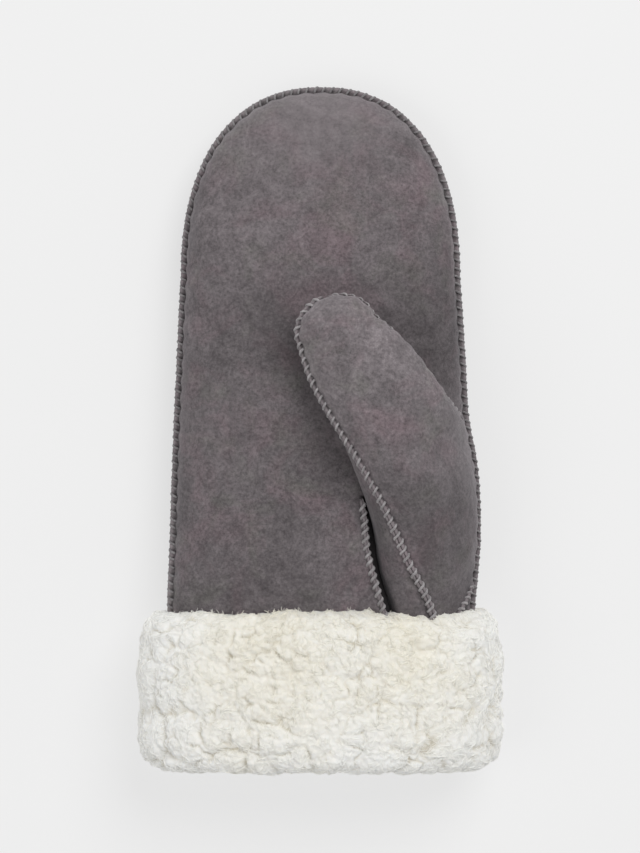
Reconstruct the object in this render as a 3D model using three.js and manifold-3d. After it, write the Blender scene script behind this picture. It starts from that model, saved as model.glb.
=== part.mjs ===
// A shearling mitten lying palm up: a suede palm panel and back panel sewn edge to edge, a thumb of two
// panels over the palm, a fleece lining, and the deep fleece cuff that is turned up round the wrist.
// Millimetres. +X is the thumb's side, +Y runs from the cuff to the fingertips, +Z is up from the surface.
import * as THREE from "three";
import { mergeVertices } from "three/addons/utils/BufferGeometryUtils.js";
import Module from "manifold-3d";

const wasm = await Module();
wasm.setup();

// Driving dimensions
const mittenLength = 262; // the cuff's fold to the fingertips
const tipLength = 72; // the rounded end of the hand
const tipLean = 0.3; // how far the rounded end leans to the thumb's side
const palmWidth = 112;
const bodyDepth = 40; // palm to back, lying flat
const hide = 2; // suede wall
const pile = 6; // fleece inside the hand
const pieceGap = 0.4; // clearance between neighbouring pieces
const seamLip = 2.2; // how far the sewn edge of the hand stands out
const seamLipDepth = 3.4; // both hides of that sewn edge together
const cuffHeight = 62;
const cuffPileSide = 14; // fleece of the cuff at the sides of the wrist
const cuffPileFlat = 11.5; // fleece of the cuff over and under the wrist
const foldDepth = 12; // fleece below the edge of the panels, at the mouth
const lockWidth = 17; // one lock of the cuff's fleece
const lockHeight = 16;
const lockRelief = 5; // depth of the cracks between locks
const thumbRoot = 30; // how far the thumb's root starts below the cuff's upper edge
const thumbLength = 153; // the thumb's root to its tip
const thumbDepth = 26;
const thumbTip = 12; // the rounded end of the thumb
const thumbLip = 1.5; // the sewn edge of the thumb

// Roundness of a section: |across| ** sideRound + |up| ** crownRound = 1, and of the hand's end seen from above
const sideRound = 2.6;
const crownRound = 2.2;
const tipRound = 2.3;

// Sections of the hand. along is a share of mittenLength; left and right are shares of palmWidth; seam, rise
// and drop are shares of bodyDepth; lift is a share of the cuff's fleece, which lies under the wrist.
const handSections = [
  { along: 0.0, left: 0.505, right: 0.505, seam: 0.42, rise: 0.42, drop: 0.42, lift: 1.0 },
  { along: 0.12, left: 0.507, right: 0.508, seam: 0.42, rise: 0.42, drop: 0.42, lift: 1.0 },
  { along: 0.24, left: 0.505, right: 0.514, seam: 0.42, rise: 0.43, drop: 0.42, lift: 0.95 },
  { along: 0.34, left: 0.499, right: 0.535, seam: 0.435, rise: 0.5, drop: 0.48, lift: 0.35 },
  { along: 0.44, left: 0.493, right: 0.528, seam: 0.45, rise: 0.54, drop: 0.53, lift: 0.03 },
  { along: 0.52, left: 0.486, right: 0.496, seam: 0.45, rise: 0.55, drop: 0.54, lift: 0.0 },
  { along: 0.6, left: 0.477, right: 0.485, seam: 0.44, rise: 0.55, drop: 0.53, lift: 0.0 },
  { along: 0.7, left: 0.467, right: 0.471, seam: 0.42, rise: 0.55, drop: 0.5, lift: 0.0 },
  { along: 0.76, left: 0.458, right: 0.46, seam: 0.4, rise: 0.55, drop: 0.48, lift: 0.0 },
  { along: 1.0, left: 0.452, right: 0.454, seam: 0.34, rise: 0.52, drop: 0.42, lift: 0.0 },
];

// The thumb seen from above, from its root to its rounded tip. leftX and rightX are shares of palmWidth, and
// leftY and rightY shares of thumbLength; onSeam 1 puts the right edge on the side seam of the hand.
const thumbPlan = [
  { along: 0.0, leftX: 0.3, leftY: 0.0, rightX: 0.52, rightY: 0.0, onSeam: 1 },
  { along: 0.15, leftX: 0.246, leftY: 0.183, rightX: 0.52, rightY: 0.186, onSeam: 1 },
  { along: 0.3, leftX: 0.198, leftY: 0.32, rightX: 0.535, rightY: 0.327, onSeam: 1 },
  { along: 0.43, leftX: 0.166, leftY: 0.448, rightX: 0.53, rightY: 0.484, onSeam: 1 },
  { along: 0.56, leftX: 0.113, leftY: 0.556, rightX: 0.525, rightY: 0.602, onSeam: 1 },
  { along: 0.62, leftX: 0.0875, leftY: 0.598, rightX: 0.487, rightY: 0.675, onSeam: 0 },
  { along: 0.68, leftX: 0.06, leftY: 0.64, rightX: 0.416, rightY: 0.748, onSeam: 0 },
  { along: 0.8, leftX: -0.016, leftY: 0.748, rightX: 0.302, rightY: 0.856, onSeam: 0 },
  { along: 1.0, leftX: -0.066, leftY: 0.862, rightX: 0.178, rightY: 0.932, onSeam: 0 },
];

// The thumb's depth. leftZ and rightZ are heights of its edges as shares of bodyDepth, and leftUp and rightUp
// what is added to them as shares of thumbDepth, as rise and drop are. turn is the angle of the visible seam
// from the left edge towards the top, and under that of the hidden seam below the right edge, in degrees.
const thumbBody = [
  { along: 0.0, leftZ: 0.9, leftUp: 0, rightZ: 0.7, rightUp: 0, rise: 0.2, drop: 0.25, turn: 90, under: 0 },
  { along: 0.15, leftZ: 1.0, leftUp: 0, rightZ: 0.68, rightUp: 0, rise: 0.42, drop: 0.3, turn: 90, under: 0 },
  { along: 0.3, leftZ: 0.93, leftUp: 0, rightZ: 0.56, rightUp: 0, rise: 0.8, drop: 0.35, turn: 66, under: 0 },
  { along: 0.43, leftZ: 0.95, leftUp: 0, rightZ: 0.48, rightUp: 0, rise: 1.1, drop: 0.4, turn: 45, under: 0 },
  { along: 0.56, leftZ: 0.97, leftUp: 0.13, rightZ: 0.5, rightUp: 0, rise: 1.16, drop: 0.5, turn: 31, under: 0 },
  { along: 0.62, leftZ: 0.97, leftUp: 0.262, rightZ: 0.5, rightUp: 0.37, rise: 0.935, drop: 0.42, turn: 25.5, under: 10 },
  { along: 0.68, leftZ: 0.97, leftUp: 0.4, rightZ: 0.86, rightUp: 0.3, rise: 0.68, drop: 0.34, turn: 20, under: 20 },
  { along: 0.8, leftZ: 0.97, leftUp: 0.54, rightZ: 0.97, rightUp: 0.5, rise: 0.47, drop: 0.44, turn: 12, under: 22 },
  { along: 1.0, leftZ: 0.97, leftUp: 0.54, rightZ: 0.97, rightUp: 0.54, rise: 0.43, drop: 0.42, turn: 4, under: 8 },
];

// Profile of the cuff, from inside the mouth, round the fold and up the outside to its upper edge. out is a
// share of the cuff's fleece, or of the wall and lining where it is below 0; up is a share of cuffHeight; lock
// is how strongly the locks show.
const cuffProfile = [
  { along: 0.0, out: -1.0, up: 0.26, lock: 0 },
  { along: 0.1, out: -1.0, up: 0.1, lock: 0.3 },
  { along: 0.17, out: -0.62, up: 0.012, lock: 0.5 },
  { along: 0.25, out: 0.12, up: 0.0, lock: 0.7 },
  { along: 0.33, out: 0.74, up: 0.045, lock: 1 },
  { along: 0.42, out: 0.97, up: 0.17, lock: 1 },
  { along: 0.54, out: 1.0, up: 0.37, lock: 1 },
  { along: 0.66, out: 1.0, up: 0.56, lock: 1 },
  { along: 0.77, out: 0.97, up: 0.74, lock: 1 },
  { along: 0.87, out: 0.84, up: 0.9, lock: 1 },
  { along: 0.94, out: 0.5, up: 0.985, lock: 0.7 },
  { along: 1.0, out: 0.0, up: 1.0, lock: 0 },
];

// How finely the surfaces are divided
const sideSteps = 12;
const leastStep = 1; // millimetres from the first section of a hand to the next
const tipSteps = 18;
const outerLevels = [0, 0.36, 0.6, 0.78, 0.9, 0.965, 0.992, 1];
const innerLevels = [0, 0.5, 0.78, 0.93, 0.985, 1];
const thumbSteps = 15;
const thumbTipSteps = 4;
const panelSteps = 9;
const samplesPerLock = 4;
const ringSteps = 1440;
const lockSharpness = 1.5; // how steeply a lock falls to its cracks
const lockScatter = 0.5; // how far a lock strays from its place, as a share of its size
const mergeWithin = 1e-3; // corners closer than this are one

// Values that follow from the dimensions
const tipStart = mittenLength - tipLength;
const liningOuter = hide + pieceGap;
const liningInner = liningOuter + pile;
const thumbBase = cuffHeight - thumbRoot;
const cutterReach = 5; // how far a cutter runs past what it cuts
const farAway = palmWidth + cuffPileSide; // past every side of the mitten
const tipClosed = 0.97; // how far the thumb's tip closes, so that its panels stay apart there
const ringBack = -0.5; // where the back of the cuff's ring lies in the wall, before the hand is cut from it
const bandLength = 0.59; // share of the thumb along which its outer panel reaches the side seam
const bandInner = 0.45; // where that stretch starts from the middle, as a share of palmWidth

// A smooth reading of a section table: gives every column's value at a place along it.
function table(rows) {
  const keys = Object.keys(rows[0]).filter((key) => key !== "along");
  const values = rows.flatMap((row) => keys.map((key) => row[key]));
  const curve = new THREE.CubicInterpolant(rows.map((row) => row.along), values, keys.length);
  return (along) => {
    const found = curve.evaluate(along);
    return Object.fromEntries(keys.map((key, i) => [key, found[i]]));
  };
}

function steps(count, from, to) {
  return Array.from({ length: count + 1 }, (_, i) => from + ((to - from) * i) / count);
}

function signedPower(value, power) {
  return Math.sign(value) * Math.abs(value) ** power;
}

// Collects the faces of a closed surface and makes it a solid that can be joined and cut.
class Faces {
  constructor() {
    this.points = [];
  }
  triangle(a, b, c) {
    this.points.push(...a.toArray(), ...b.toArray(), ...c.toArray());
  }
  quad(a, b, c, d) {
    this.triangle(a, b, c);
    this.triangle(a, c, d);
  }
  // Rows of points with a face between each four; a closed row joins its last point to its first.
  grid(rows, closedRow = false) {
    for (let i = 0; i + 1 < rows.length; i += 1) {
      const count = rows[i].length;
      for (let j = 0; j + (closedRow ? 0 : 1) < count; j += 1) {
        const k = (j + 1) % count;
        this.quad(rows[i][j], rows[i + 1][j], rows[i + 1][k], rows[i][k]);
      }
    }
  }
  solid() {
    const loose = new THREE.BufferGeometry();
    loose.setAttribute("position", new THREE.Float32BufferAttribute(this.points, 3));
    const merged = mergeVertices(loose, mergeWithin);
    const corners = [];
    for (let i = 0; i < merged.index.count; i += 3) {
      const [a, b, c] = merged.index.array.slice(i, i + 3);
      if (a !== b && b !== c && c !== a) corners.push(a, b, c);
    }
    const vertProperties = merged.attributes.position.array;
    return new wasm.Manifold(new wasm.Mesh({ numProp: 3, vertProperties, triVerts: new Uint32Array(corners) }));
  }
}

// The hand
const handTable = table(handSections);

// The hand's edges and heights at a distance y from the fold, drawn in by inset.
function handSection(y, inset) {
  const share = handTable(THREE.MathUtils.clamp(y / mittenLength, 0, 1));
  return {
    left: inset - share.left * palmWidth,
    right: share.right * palmWidth - inset,
    middle: ((share.right - share.left) * palmWidth) / 2,
    seam: share.seam * bodyDepth + share.lift * cuffPileFlat,
    rise: share.rise * bodyDepth - inset,
    drop: share.drop * bodyDepth - inset,
  };
}

// Where the hand's outline runs: up the left side, round the fingertips and down the right side.
function outlineStations(from, inset) {
  const sides = [from, ...steps(sideSteps, 0, tipStart).filter((y) => y > from + leastStep)];
  const side = (key, outward) => (y) => {
    const section = handSection(y, inset);
    return {
      centre: new THREE.Vector3(section.middle, y, 0),
      edge: new THREE.Vector3(section[key], y, 0),
      outward: new THREE.Vector3(outward, 0, 0),
    };
  };
  const { left, right, middle } = handSection(tipStart, inset);
  const tip = steps(tipSteps, Math.PI, 0)
    .slice(1, -1)
    .map((angle) => {
      const reach = Math.cos(angle) < 0 ? middle - left : right - middle;
      const across = signedPower(Math.cos(angle), 2 / tipRound) * reach;
      const forward = Math.sin(angle) ** (2 / tipRound) * (tipLength - inset);
      return {
        centre: new THREE.Vector3(middle, tipStart, 0),
        edge: new THREE.Vector3(middle + across, tipStart + forward, 0),
        outward: new THREE.Vector3(across / reach ** 2, forward / tipLength ** 2, 0).normalize(),
      };
    });
  return [...sides.map(side("left", -1)), ...tip, ...sides.toReversed().map(side("right", 1))];
}

// The hand as a solid, drawn in by inset, or let out where inset is below 0. Each strip runs from the middle of
// the palm, over the edge, to the middle of the back.
function handSolid({ inset, from, lip = false, levels = outerLevels }) {
  const strips = outlineStations(from, inset).map(({ centre, edge, outward }) => {
    const at = (level, side) => {
      const point = new THREE.Vector3().lerpVectors(centre, edge, level);
      const { seam, rise, drop } = handSection(point.y, inset);
      point.x += tipLean * (Math.max(point.y - tipStart, 0) / tipLength) ** 2;
      const full = (1 - level ** sideRound) ** (1 / crownRound);
      point.z = Math.max(seam + full * (side > 0 ? rise : -drop), inset);
      return point;
    };
    const half = (side) => {
      if (!lip) return levels.map((level) => at(level, side));
      const root = at(1, side).add(new THREE.Vector3(0, 0, side * (seamLipDepth / 2 - inset)));
      const proud = root.clone().addScaledVector(outward, seamLip);
      return [...levels.slice(0, -1).map((level) => at(level, side)), root, proud];
    };
    return [...half(1), ...half(-1).toReversed()];
  });
  const faces = new Faces();
  faces.grid(strips);
  for (const strip of [strips[0], strips.at(-1).toReversed()]) {
    for (let i = 0; i < strip.length / 2 - 1; i += 1) {
      const j = strip.length - 1 - i;
      faces.quad(strip[i], strip[i + 1], strip[j - 1], strip[j]);
    }
  }
  return faces.solid();
}

// An outline in Y and Z run out along X, as a solid. The outline's points are given as (y, z).
function slabAcross(outline, fromX, toX) {
  const slab = new THREE.ExtrudeGeometry(new THREE.Shape(outline), { depth: toX - fromX, bevelEnabled: false });
  const yAxis = new THREE.Vector3(0, 1, 0);
  const zAxis = new THREE.Vector3(0, 0, 1);
  const xAxis = new THREE.Vector3(1, 0, 0);
  slab.applyMatrix4(new THREE.Matrix4().makeBasis(yAxis, zAxis, xAxis));
  slab.translate(fromX, 0, 0);
  const faces = new Faces();
  faces.points = Array.from(slab.attributes.position.array);
  return faces.solid();
}

// Everything above the side seam, or below it, half a gap clear of the seam's own height.
function seamSide(side) {
  const from = -cutterReach;
  const to = mittenLength + cutterReach;
  const line = steps(2 * sideSteps, from, to).map(
    (y) => new THREE.Vector2(y, handSection(y, 0).seam + (side * pieceGap) / 2),
  );
  const far = [new THREE.Vector2(to, side * farAway), new THREE.Vector2(from, side * farAway)];
  return slabAcross([...line, ...far], -farAway, farAway);
}

// The stretch of the hand's right edge that the thumb's outer panel takes over from the palm.
function thumbEdgeBand() {
  const from = cuffHeight - cutterReach;
  const to = thumbBase + bandLength * thumbLength;
  const outline = [
    [from, -farAway],
    [to, -farAway],
    [to, farAway],
    [from, farAway],
  ].map(([y, z]) => new THREE.Vector2(y, z));
  return slabAcross(outline, bandInner * palmWidth, farAway);
}

// The thumb
const planTable = table(thumbPlan);
const bodyTable = table(thumbBody);

// The thumb's section at a place along it, drawn in by inset: its two edges, and its rise and drop.
function thumbSection(along, inset) {
  const plan = planTable(along);
  const body = bodyTable(along);
  const edge = (side) =>
    new THREE.Vector3(
      plan[`${side}X`] * palmWidth,
      plan[`${side}Y`] * thumbLength + thumbBase,
      body[`${side}Z`] * bodyDepth + body[`${side}Up`] * thumbDepth,
    );
  const left = edge("left");
  const right = edge("right");
  const onHand = handSection(right.y, 0);
  const seam = new THREE.Vector3(onHand.right, right.y, onHand.seam);
  right.lerp(seam, THREE.MathUtils.clamp(plan.onSeam, 0, 1));
  const across = right.clone().sub(left).setZ(0).normalize();
  left.addScaledVector(across, inset);
  right.addScaledVector(across, -inset);
  const forward = new THREE.Vector3(-across.y, across.x, 0);
  return { left, right, forward, rise: body.rise * thumbDepth - inset, drop: body.drop * thumbDepth - inset };
}

// A point on the thumb. Angle 0 is its right edge, a quarter turn its top and half a turn its left edge. From
// 1 to 2 along it closes over the rounded tip.
function thumbPoint(along, angle, inset, proud = 0) {
  const past = (Math.max(along - 1, 0) * Math.PI) / 2;
  const { left, right, forward, rise, drop } = thumbSection(Math.min(along, 1), inset);
  const half = right.clone().sub(left).divideScalar(2);
  const swell = Math.cos(past) * (1 + proud / half.length());
  const height = Math.sin(angle) * (Math.sin(angle) > 0 ? rise : drop);
  const point = right.clone().add(left).divideScalar(2);
  point.addScaledVector(forward, Math.sin(past) * (thumbTip - inset));
  point.addScaledVector(half, Math.cos(angle) * swell);
  point.z += height * swell;
  return point;
}

const thumbPlaces = [...steps(thumbSteps, 0, 1), ...steps(thumbTipSteps, 1, 1 + tipClosed).slice(1)];

const visibleSeam = (body) => THREE.MathUtils.degToRad(180 - body.turn);
const hiddenSeam = (body) => THREE.MathUtils.degToRad(-body.under);

// The whole thumb as a solid, drawn in by inset, with the sewn edges of its two seams.
function thumbSolid(inset, lip) {
  const rings = thumbPlaces.map((along) => {
    const body = bodyTable(Math.min(along, 1));
    const over = steps(panelSteps, hiddenSeam(body), visibleSeam(body));
    const below = steps(panelSteps, visibleSeam(body), hiddenSeam(body) + 2 * Math.PI);
    const angles = [...over, ...below.slice(1, -1)];
    return angles.map((angle, i) => thumbPoint(along, angle, inset, i % panelSteps === 0 ? lip : 0));
  });
  const faces = new Faces();
  faces.grid(rings, true);
  for (const ring of [rings[0], rings.at(-1).toReversed()]) {
    for (let i = 1; i + 1 < ring.length; i += 1) faces.triangle(ring[0], ring[i], ring[i + 1]);
  }
  return faces.solid();
}

// The wall of the thumb between two of its seams, with a sewn edge that stands out along them.
function thumbPanel(fromAngle, toAngle) {
  const clearAngle = (along) => {
    const { left, right, rise, drop } = thumbSection(Math.min(along, 1), 0);
    const smallest = Math.min(left.distanceTo(right) / 2, rise, drop);
    return pieceGap / 2 / (smallest * Math.cos((Math.max(along - 1, 0) * Math.PI) / 2));
  };
  const layer = (inset, lip) =>
    thumbPlaces.map((along) => {
      const body = bodyTable(Math.min(along, 1));
      const clear = clearAngle(along);
      const angles = steps(panelSteps, fromAngle(body) + clear, toAngle(body) - clear);
      return angles.map((angle, i) => thumbPoint(along, angle, inset, i % panelSteps === 0 ? lip : 0));
    });
  const outer = layer(0, thumbLip);
  const inner = layer(hide, 0);
  const faces = new Faces();
  faces.grid(outer);
  faces.grid(inner.map((row) => row.toReversed()));
  faces.grid([outer, inner].map((rows) => rows.map((row) => row[0])));
  faces.grid([inner, outer].map((rows) => rows.map((row) => row[panelSteps])));
  faces.grid([inner[0], outer[0]]);
  faces.grid([outer.at(-1), inner.at(-1)]);
  return faces.solid();
}

// The cuff
const profileTable = table(cuffProfile);

// How far a place on the cuff is pressed in between its locks, from 0 on a lock to 1 in a crack. across and up
// count locks; the locks are staggered, each moved a little from its place.
function lockCrack(across, up, columns) {
  const random = (row, column, axis) => {
    const wrapped = ((column % columns) + columns) % columns;
    const lock = row * columns + wrapped;
    return THREE.MathUtils.seededRandom(2 * lock + axis) - 0.5;
  };
  let nearest = 1;
  for (const row of [-1, 0, 1].map((step) => Math.round(up) + step)) {
    for (const step of [-1, 0, 1]) {
      const column = Math.round(across) + step;
      const lockAcross = column + (row % 2 === 0 ? 0 : 0.5) + random(row, column, 0) * lockScatter;
      const lockUp = row + random(row, column, 1) * lockScatter;
      nearest = Math.min(nearest, Math.hypot(across - lockAcross, up - lockUp));
    }
  }
  return Math.min(lockSharpness * nearest, 1) ** 2;
}

// A point of the ring round the wrist, out from the hand's surface by a share of the fleece, or in by a share
// of the wall and lining.
function ringPoint(out, y, angle) {
  const { middle, right, seam, rise, drop } = handSection(y, 0);
  const thick = (fleece) => out * (out > 0 ? fleece : liningInner);
  const across = right - middle + thick(cuffPileSide);
  const up = (Math.sin(angle) > 0 ? rise : drop) + thick(cuffPileFlat);
  return new THREE.Vector3(
    middle + signedPower(Math.cos(angle), 2 / sideRound) * across,
    y,
    seam + signedPower(Math.sin(angle), 2 / crownRound) * up,
  );
}

// The angles at which points lie evenly round the cuff, a whole number of locks and samplesPerLock to a lock.
function evenAngles() {
  const fine = steps(ringSteps, 0, 2 * Math.PI);
  const points = fine.map((angle) => ringPoint(1, cuffHeight / 2, angle));
  const run = [0];
  for (let i = 1; i < points.length; i += 1) run.push(run[i - 1] + points[i].distanceTo(points[i - 1]));
  const columns = Math.round(run.at(-1) / lockWidth);
  const even = steps(columns * samplesPerLock, 0, run.at(-1)).slice(0, -1);
  return { columns, angles: even.map((length) => fine[run.findIndex((reached) => reached >= length)]) };
}

// The turned-up fleece as a ring round the wrist.
function cuffRing() {
  const { columns, angles } = evenAngles();
  const rowsOfLocks = (2 * (cuffHeight - foldDepth)) / lockHeight;
  const rings = steps(Math.round(rowsOfLocks * samplesPerLock), 0, 1).map((along, row) => {
    const { out, up, lock } = profileTable(along);
    const y = Math.max(up, 0) * cuffHeight;
    return angles.map((angle, i) => {
      const point = ringPoint(out, y, angle);
      const spine = ringPoint(0, THREE.MathUtils.clamp(y, foldDepth, cuffHeight - foldDepth), angle);
      const crack = lockCrack(i / samplesPerLock, row / samplesPerLock, columns);
      const inwards = spine.sub(point).normalize();
      point.addScaledVector(inwards, Math.max(lock, 0) * crack * lockRelief);
      point.z = Math.max(point.z, 0);
      return point;
    });
  });
  const closing = angles.map((angle) => ringPoint(ringBack, cuffHeight / 2, angle));
  const faces = new Faces();
  faces.grid([...rings, closing, rings[0]], true);
  return faces.solid();
}

// The pieces
const handOutside = handSolid({ inset: 0, from: foldDepth, lip: true });
const handHollow = handSolid({ inset: hide, from: foldDepth - cutterReach, levels: innerLevels });
const handClear = handSolid({ inset: -pieceGap, from: foldDepth - pieceGap, lip: true });
const handWall = handOutside.subtract(handHollow);
const thumbClear = thumbSolid(-pieceGap, thumbLip + pieceGap);
const aboveSeam = seamSide(1);
const belowSeam = seamSide(-1);

const lining = handSolid({ inset: liningOuter, from: foldDepth + pieceGap, levels: innerLevels })
  .subtract(handSolid({ inset: liningInner, from: foldDepth - cutterReach, levels: innerLevels }))
  .subtract(thumbSolid(hide, 0));

const suede = new THREE.MeshStandardMaterial({ color: 0x6b6466, roughness: 0.95, metalness: 0 });
const fleece = new THREE.MeshStandardMaterial({ color: 0xe6e3d8, roughness: 1, metalness: 0 });

const pieces = {
  back_panel: [handWall.intersect(belowSeam), suede],
  palm_panel: [handWall.intersect(aboveSeam).subtract(thumbClear).subtract(thumbEdgeBand()), suede],
  thumb_outer_panel: [thumbPanel(hiddenSeam, visibleSeam).subtract(handHollow).intersect(aboveSeam), suede],
  thumb_inner_panel: [
    thumbPanel(visibleSeam, (body) => hiddenSeam(body) + 2 * Math.PI).subtract(handHollow).intersect(aboveSeam),
    suede,
  ],
  fleece_lining: [lining, fleece],
  fleece_cuff: [cuffRing().subtract(handClear).subtract(thumbClear), fleece],
};

// The model stands on the surface, with the middle of its box over the origin.
const group = new THREE.Group();
for (const [name, [solid, material]] of Object.entries(pieces)) {
  const { vertProperties, triVerts } = solid.getMesh();
  const geometry = new THREE.BufferGeometry();
  geometry.setAttribute("position", new THREE.BufferAttribute(vertProperties, 3));
  geometry.setIndex(new THREE.BufferAttribute(triVerts, 1));
  const mesh = new THREE.Mesh(geometry, material);
  mesh.name = name;
  group.add(mesh);
}
const box = new THREE.Box3().setFromObject(group);
const centre = box.getCenter(new THREE.Vector3());
group.position.set(-centre.x, -centre.y, -box.min.z);

export default group;
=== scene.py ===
"""The looks of a grey shearling mitten lying palm up: suede hides joined by whip-stitched edges, a deep
turned-up cuff of cream wool, and the wool lining in its mouth.

Shapes are worked out in millimetres from the same sections as the solids, with y counted from the cuff's
fold. A point's tone is 0.5 on plain suede, less where grime and painted shade darken it, and more where
wear and painted light make it paler. On wool it is 1 at the tips and 0 in a crack, where its creamier
roots and painted shadow darken it.
"""

import math
from dataclasses import dataclass
from itertools import product
from types import SimpleNamespace

import bpy
import numpy as np
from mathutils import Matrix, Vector


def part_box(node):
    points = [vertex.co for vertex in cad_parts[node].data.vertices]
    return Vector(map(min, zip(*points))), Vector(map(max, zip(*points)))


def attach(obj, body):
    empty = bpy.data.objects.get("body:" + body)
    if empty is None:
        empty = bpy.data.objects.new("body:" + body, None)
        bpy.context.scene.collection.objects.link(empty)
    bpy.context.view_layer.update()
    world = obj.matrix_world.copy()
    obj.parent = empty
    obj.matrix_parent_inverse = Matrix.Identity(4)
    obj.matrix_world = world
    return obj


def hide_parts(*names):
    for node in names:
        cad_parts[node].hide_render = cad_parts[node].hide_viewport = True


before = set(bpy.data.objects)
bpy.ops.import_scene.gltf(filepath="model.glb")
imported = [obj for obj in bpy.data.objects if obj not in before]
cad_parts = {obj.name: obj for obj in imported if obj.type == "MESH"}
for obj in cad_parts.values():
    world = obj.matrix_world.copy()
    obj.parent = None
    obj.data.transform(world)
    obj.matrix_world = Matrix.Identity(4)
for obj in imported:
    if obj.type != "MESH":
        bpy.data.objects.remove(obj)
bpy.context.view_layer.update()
scene = bpy.context.scene

# Sizes of the solids, in millimetres
MM = 0.001
MITTEN_LENGTH = 262
TIP_LENGTH = 72
TIP_LEAN = 0.3
PALM_WIDTH = 112
BODY_DEPTH = 40
HIDE = 2
PILE = 6
PIECE_GAP = 0.4
SEAM_LIP = 2.2
CUFF_HEIGHT = 62
CUFF_PILE_SIDE = 14
CUFF_PILE_FLAT = 11.5
FOLD_DEPTH = 12
THUMB_ROOT = 30
THUMB_LENGTH = 153
THUMB_DEPTH = 26
THUMB_TIP = 12
SIDE_ROUND = 2.6
CROWN_ROUND = 2.2
TIP_ROUND = 2.3

TIP_START = MITTEN_LENGTH - TIP_LENGTH
LINING_INNER = HIDE + PIECE_GAP + PILE
THUMB_BASE = CUFF_HEIGHT - THUMB_ROOT

HAND_COLUMNS = ("left", "right", "seam", "rise", "drop", "lift")
HAND_SECTIONS = (
    (0, 0.505, 0.505, 0.42, 0.42, 0.42, 1),
    (0.12, 0.507, 0.508, 0.42, 0.42, 0.42, 1),
    (0.24, 0.505, 0.514, 0.42, 0.43, 0.42, 0.95),
    (0.34, 0.499, 0.535, 0.435, 0.5, 0.48, 0.35),
    (0.44, 0.493, 0.528, 0.45, 0.54, 0.53, 0.03),
    (0.52, 0.486, 0.496, 0.45, 0.55, 0.54, 0),
    (0.6, 0.477, 0.485, 0.44, 0.55, 0.53, 0),
    (0.7, 0.467, 0.471, 0.42, 0.55, 0.5, 0),
    (0.76, 0.458, 0.46, 0.4, 0.55, 0.48, 0),
    (1, 0.452, 0.454, 0.34, 0.52, 0.42, 0),
)
THUMB_COLUMNS = (
    "left_x", "left_y", "right_x", "right_y", "on_seam",
    "left_z", "left_up", "right_z", "right_up", "rise", "drop", "turn", "under",
)
THUMB_SECTIONS = (
    (0, 0.3, 0, 0.52, 0, 1, 0.9, 0, 0.7, 0, 0.2, 0.25, 90, 0),
    (0.15, 0.246, 0.183, 0.52, 0.186, 1, 1, 0, 0.68, 0, 0.42, 0.3, 90, 0),
    (0.3, 0.198, 0.32, 0.535, 0.327, 1, 0.93, 0, 0.56, 0, 0.8, 0.35, 66, 0),
    (0.43, 0.166, 0.448, 0.53, 0.484, 1, 0.95, 0, 0.48, 0, 1.1, 0.4, 45, 0),
    (0.56, 0.113, 0.556, 0.525, 0.602, 1, 0.97, 0.13, 0.5, 0, 1.16, 0.5, 31, 0),
    (0.62, 0.0875, 0.598, 0.487, 0.675, 0, 0.97, 0.262, 0.5, 0.37, 0.935, 0.42, 25.5, 10),
    (0.68, 0.06, 0.64, 0.416, 0.748, 0, 0.97, 0.4, 0.86, 0.3, 0.68, 0.34, 20, 20),
    (0.8, -0.016, 0.748, 0.302, 0.856, 0, 0.97, 0.54, 0.97, 0.5, 0.47, 0.44, 12, 22),
    (1, -0.066, 0.862, 0.178, 0.932, 0, 0.97, 0.54, 0.97, 0.54, 0.43, 0.42, 4, 8),
)
PROFILE_COLUMNS = ("out", "up", "lock")
CUFF_PROFILE = (
    (0, -1, 0.26, 0),
    (0.1, -1, 0.1, 0.3),
    (0.17, -0.62, 0.012, 0.5),
    (0.25, 0.12, 0, 0.7),
    (0.33, 0.74, 0.045, 1),
    (0.42, 0.97, 0.17, 1),
    (0.54, 1, 0.37, 1),
    (0.66, 1, 0.56, 1),
    (0.77, 0.97, 0.74, 1),
    (0.87, 0.84, 0.9, 1),
    (0.94, 0.5, 0.985, 0.7),
    (1, 0, 1, 0),
)

# Detail of the hides, in millimetres. Each row of swells is a height and a length
SCENE_HIDE = HIDE - 0.2
PANEL_SWELLS = ((0.75, 46), (0.3, 19), (0.1, 7))
PANEL_CALM = 12
THUMB_SWELLS = ((0.5, 34), (0.28, 15), (0.1, 6))
THUMB_CALM = 10
TUCK_HEIGHT = 0.32
TUCK_REACH = 7
TUCK_PITCHES = 2.3
REST_FADE = 3
CREASE_GAP = 4.2
CREASE_TOP = 105
CREASE_OPENS = 18
CREASE_LIP = 1.3
CREASE_LIFT = 1
CREASE_LEAN = 0.45
GROOVE_DEPTH = 3
GROOVE_CLEAR = 0.7
GROOVE_SLOPE = 1.2
OVERHANG = 0.9
OVERHANG_FROM_X = 50
OVERHANG_MIDDLE_Y = 99
UNDER_THUMB = 4
BURIED_THUMB = 4

# Tones of the hides. The palm's patches are painted light and painted shade: a change, the x and y of its
# middle, and how far it reaches
PALM_LIGHT_AND_SHADE_PATCHES = (
    (0.2, 0, 256, 26),
    (0.04, -40, 140, 26),
    (-0.2, 50, 170, 30),
    (-0.15, -12, 168, 24),
    (-0.1, 2, 120, 18),
)
EDGE_RUB = 0.1
PALM_SHADE = 0.1
THUMB_SHADE = 0.22

# The seams, in millimetres and radians
STITCH_PITCH = 3.1
STITCH_SAMPLES = 8
STITCH_SLANT = 0.46
STITCH_TURN = 2.2
STITCH_POINTS = 13
STITCH_ROUND = 2.6
EDGE_ROOT = 1.6
THUMB_SEAM_CLEARANCE = 0.008
# For each seam: how far it stands out, how thick each of its hides is, its thread's radius, and its seed
SEAMS = {
    "side_seam": (2.1, 1.6, 0.47, 31),
    "thumb_seam": (1.35, 1.15, 0.52, 71),
    "thumb_far_seam": (0.55, 0.8, 0.36, 73),
    "thumb_foot_seam": (0.85, 0.8, 0.54, 75),
    "palm_seam": (1.9, 0.65, 0.58, 79),
}
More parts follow.
